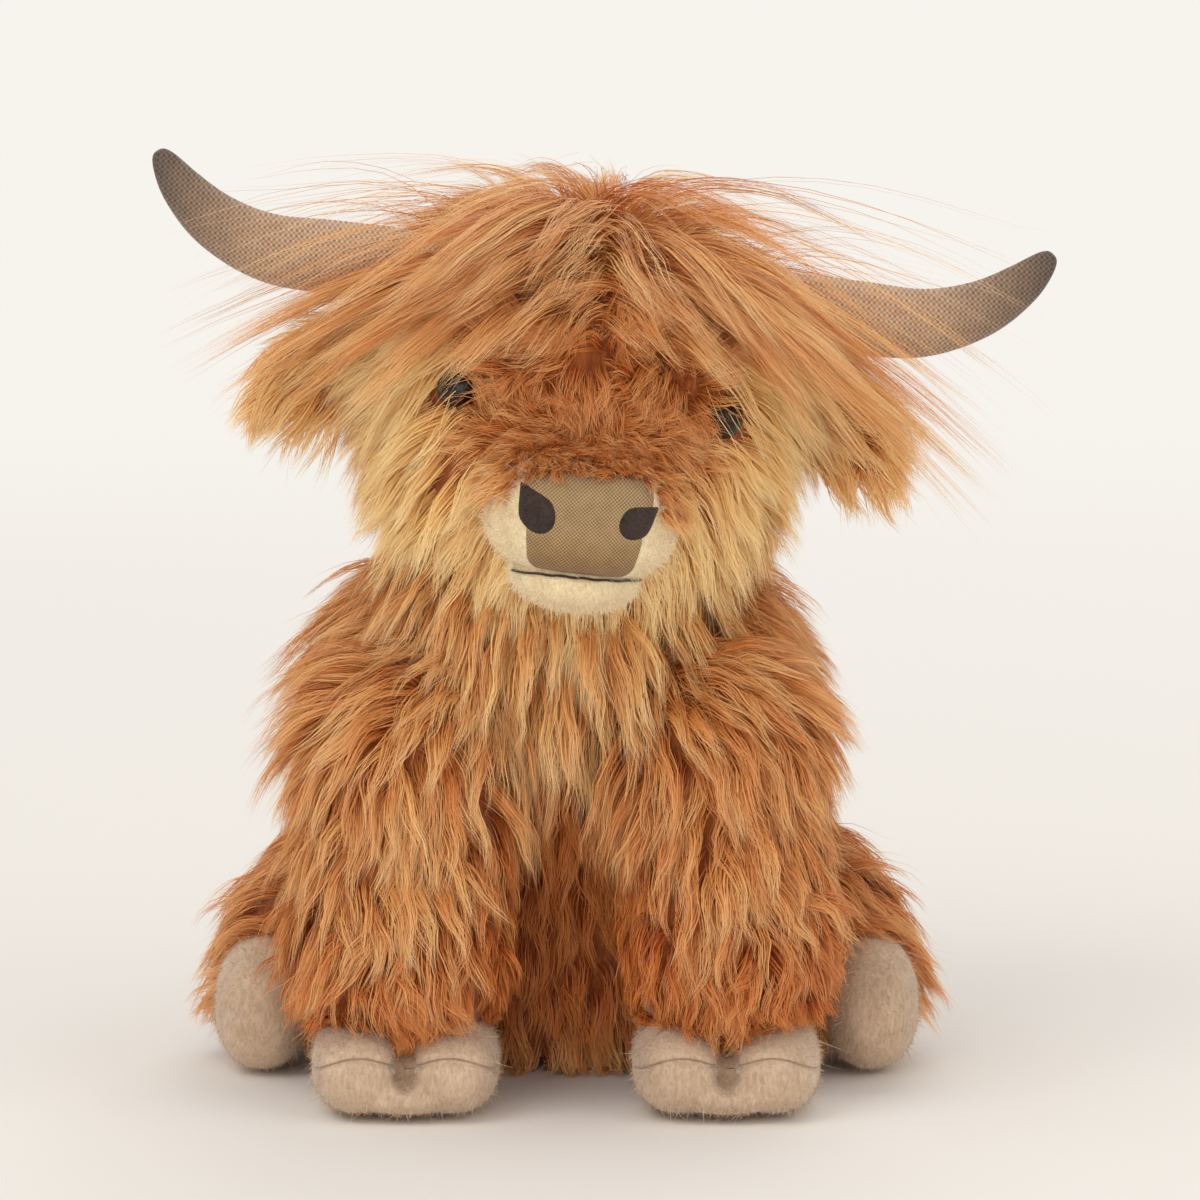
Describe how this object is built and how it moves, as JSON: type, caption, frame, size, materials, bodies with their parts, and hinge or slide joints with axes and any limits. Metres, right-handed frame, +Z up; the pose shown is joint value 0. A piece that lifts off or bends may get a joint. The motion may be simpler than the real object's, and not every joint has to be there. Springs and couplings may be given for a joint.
{
  "type": "sitting plush highland cow",
  "caption": "Sitting long-haired plush cow with knitted horns, cream muzzle and soft cloven hooves, jointed at its sewn seams; sits on its flat seat.",
  "frame": {"origin": "centre of the footprint, on the floor", "axes": "+Z up; the toy faces -Y; its own left side is at +X"},
  "size_m": [0.2804, 0.2248, 0.2972],
  "materials": {
    "orange_fur": "long wavy pile, golden tips over orange-brown, deep red-brown at the roots",
    "golden_fur": "long pale golden locks",
    "cream_plush": "short dense plush",
    "beige_plush": "short dense plush, nap brushed down",
    "nose_knit": "fine flat knit",
    "horn_knit": "ribbed knit, tan at the base to dark grey-brown at the tip",
    "dark_thread": "matt dark brown",
    "eye_plastic": "polished near-black",
    "washer_plastic": "moulded natural white",
    "fibre_fill": "loose polyester fibre",
    "pouch_cloth": "plain woven cloth"
  },
  "bodies": {
    "torso": {"torso_fur_skin": "orange_fur", "torso_stuffing": "fibre_fill", "pellet_pouch": "pouch_cloth"},
    "neck": {"neck_stuffing": "fibre_fill"},
    "neck_seam": {"neck_seam_thread": "dark_thread"},
    "head": {"head_fur_skin": "orange_fur", "head_stuffing": "fibre_fill", "forelock_patch": "golden_fur", "muzzle_cover": "cream_plush", "chin_cover": "cream_plush", "nose_patch": "nose_knit", "mouth_stitch": "dark_thread", "nostril_left": "dark_thread", "nostril_right": "dark_thread", "eye_left": "eye_plastic", "eye_right": "eye_plastic", "eye_washer_left": "washer_plastic", "eye_washer_right": "washer_plastic"},
    "horn_left": {"horn_cover_left": "horn_knit", "horn_stuffing_left": "fibre_fill"},
    "horn_right": {"horn_cover_right": "horn_knit", "horn_stuffing_right": "fibre_fill"},
    "ear_left": {"ear_left": "golden_fur"},
    "ear_right": {"ear_right": "golden_fur"},
    "front_leg_left": {"front_leg_fur_left": "orange_fur", "front_leg_stuffing_left": "fibre_fill", "front_hoof_left": "beige_plush"},
    "front_leg_right": {"front_leg_fur_right": "orange_fur", "front_leg_stuffing_right": "fibre_fill", "front_hoof_right": "beige_plush"},
    "rear_leg_left": {"rear_leg_fur_left": "golden_fur", "rear_leg_stuffing_left": "fibre_fill", "rear_hoof_left": "beige_plush"},
    "rear_leg_right": {"rear_leg_fur_right": "golden_fur", "rear_leg_stuffing_right": "fibre_fill", "rear_hoof_right": "beige_plush"},
    "tail": {"tail": "orange_fur", "tail_tuft": "golden_fur"}
  },
  "joints": [
    {"name": "head_turn", "type": "hinge", "parent": "torso", "child": "neck", "pos_m": [-0.0149, -0.01797, 0.158], "axis": [0, 0, 1], "range_deg": [-25, 20], "stiffness_Nm_per_rad": 1.2},
    {"name": "head_tilt", "type": "hinge", "parent": "neck", "child": "neck_seam", "pos_m": [-0.0149, -0.01797, 0.158], "axis": [0, 1, 0], "range_deg": [-14, 3], "stiffness_Nm_per_rad": 1.6},
    {"name": "head_nod", "type": "hinge", "parent": "neck_seam", "child": "head", "pos_m": [-0.0149, -0.01797, 0.158], "axis": [1, 0, 0], "range_deg": [-10, 8], "stiffness_Nm_per_rad": 1.6},
    {"name": "horn_left_bend", "type": "hinge", "parent": "head", "child": "horn_left", "pos_m": [0.05604, -0.01283, 0.245], "axis": [0.0519, -0.9986, -0.0064], "range_deg": [-10, 10], "stiffness_Nm_per_rad": 0.3},
    {"name": "horn_right_bend", "type": "hinge", "parent": "head", "child": "horn_right", "pos_m": [-0.0629, -0.01911, 0.25961], "axis": [-0.0519, 0.9986, 0.0064], "range_deg": [-10, 10], "stiffness_Nm_per_rad": 0.3},
    {"name": "ear_left_flap", "type": "hinge", "parent": "head", "child": "ear_left", "pos_m": [0.05404, -0.00873, 0.21402], "axis": [-0.1219, 0, -0.9925], "range_deg": [-15, 15], "stiffness_Nm_per_rad": 0.06},
    {"name": "ear_right_flap", "type": "hinge", "parent": "head", "child": "ear_right", "pos_m": [-0.06887, -0.01522, 0.22911], "axis": [0.1219, 0, 0.9925], "range_deg": [-15, 15], "stiffness_Nm_per_rad": 0.06},
    {"name": "front_leg_left_swing", "type": "hinge", "parent": "torso", "child": "front_leg_left", "pos_m": [0.0336, -0.04397, 0.109], "axis": [-1, 0, 0], "range_deg": [0, 45], "stiffness_Nm_per_rad": 0.4},
    {"name": "front_leg_right_swing", "type": "hinge", "parent": "torso", "child": "front_leg_right", "pos_m": [-0.0584, -0.04397, 0.109], "axis": [-1, 0, 0], "range_deg": [0, 45], "stiffness_Nm_per_rad": 0.4},
    {"name": "rear_leg_left_lift", "type": "hinge", "parent": "torso", "child": "rear_leg_left", "pos_m": [0.0526, 0.03203, 0.044], "axis": [-1, 0, 0], "range_deg": [0, 25], "stiffness_Nm_per_rad": 0.3},
    {"name": "rear_leg_right_lift", "type": "hinge", "parent": "torso", "child": "rear_leg_right", "pos_m": [-0.0774, 0.03203, 0.044], "axis": [-1, 0, 0], "range_deg": [0, 25], "stiffness_Nm_per_rad": 0.3},
    {"name": "tail_swing", "type": "hinge", "parent": "torso", "child": "tail", "pos_m": [-0.0124, 0.08003, 0.064], "axis": [0, 1, 0], "range_deg": [-25, 25], "stiffness_Nm_per_rad": 0.05}
  ]
}
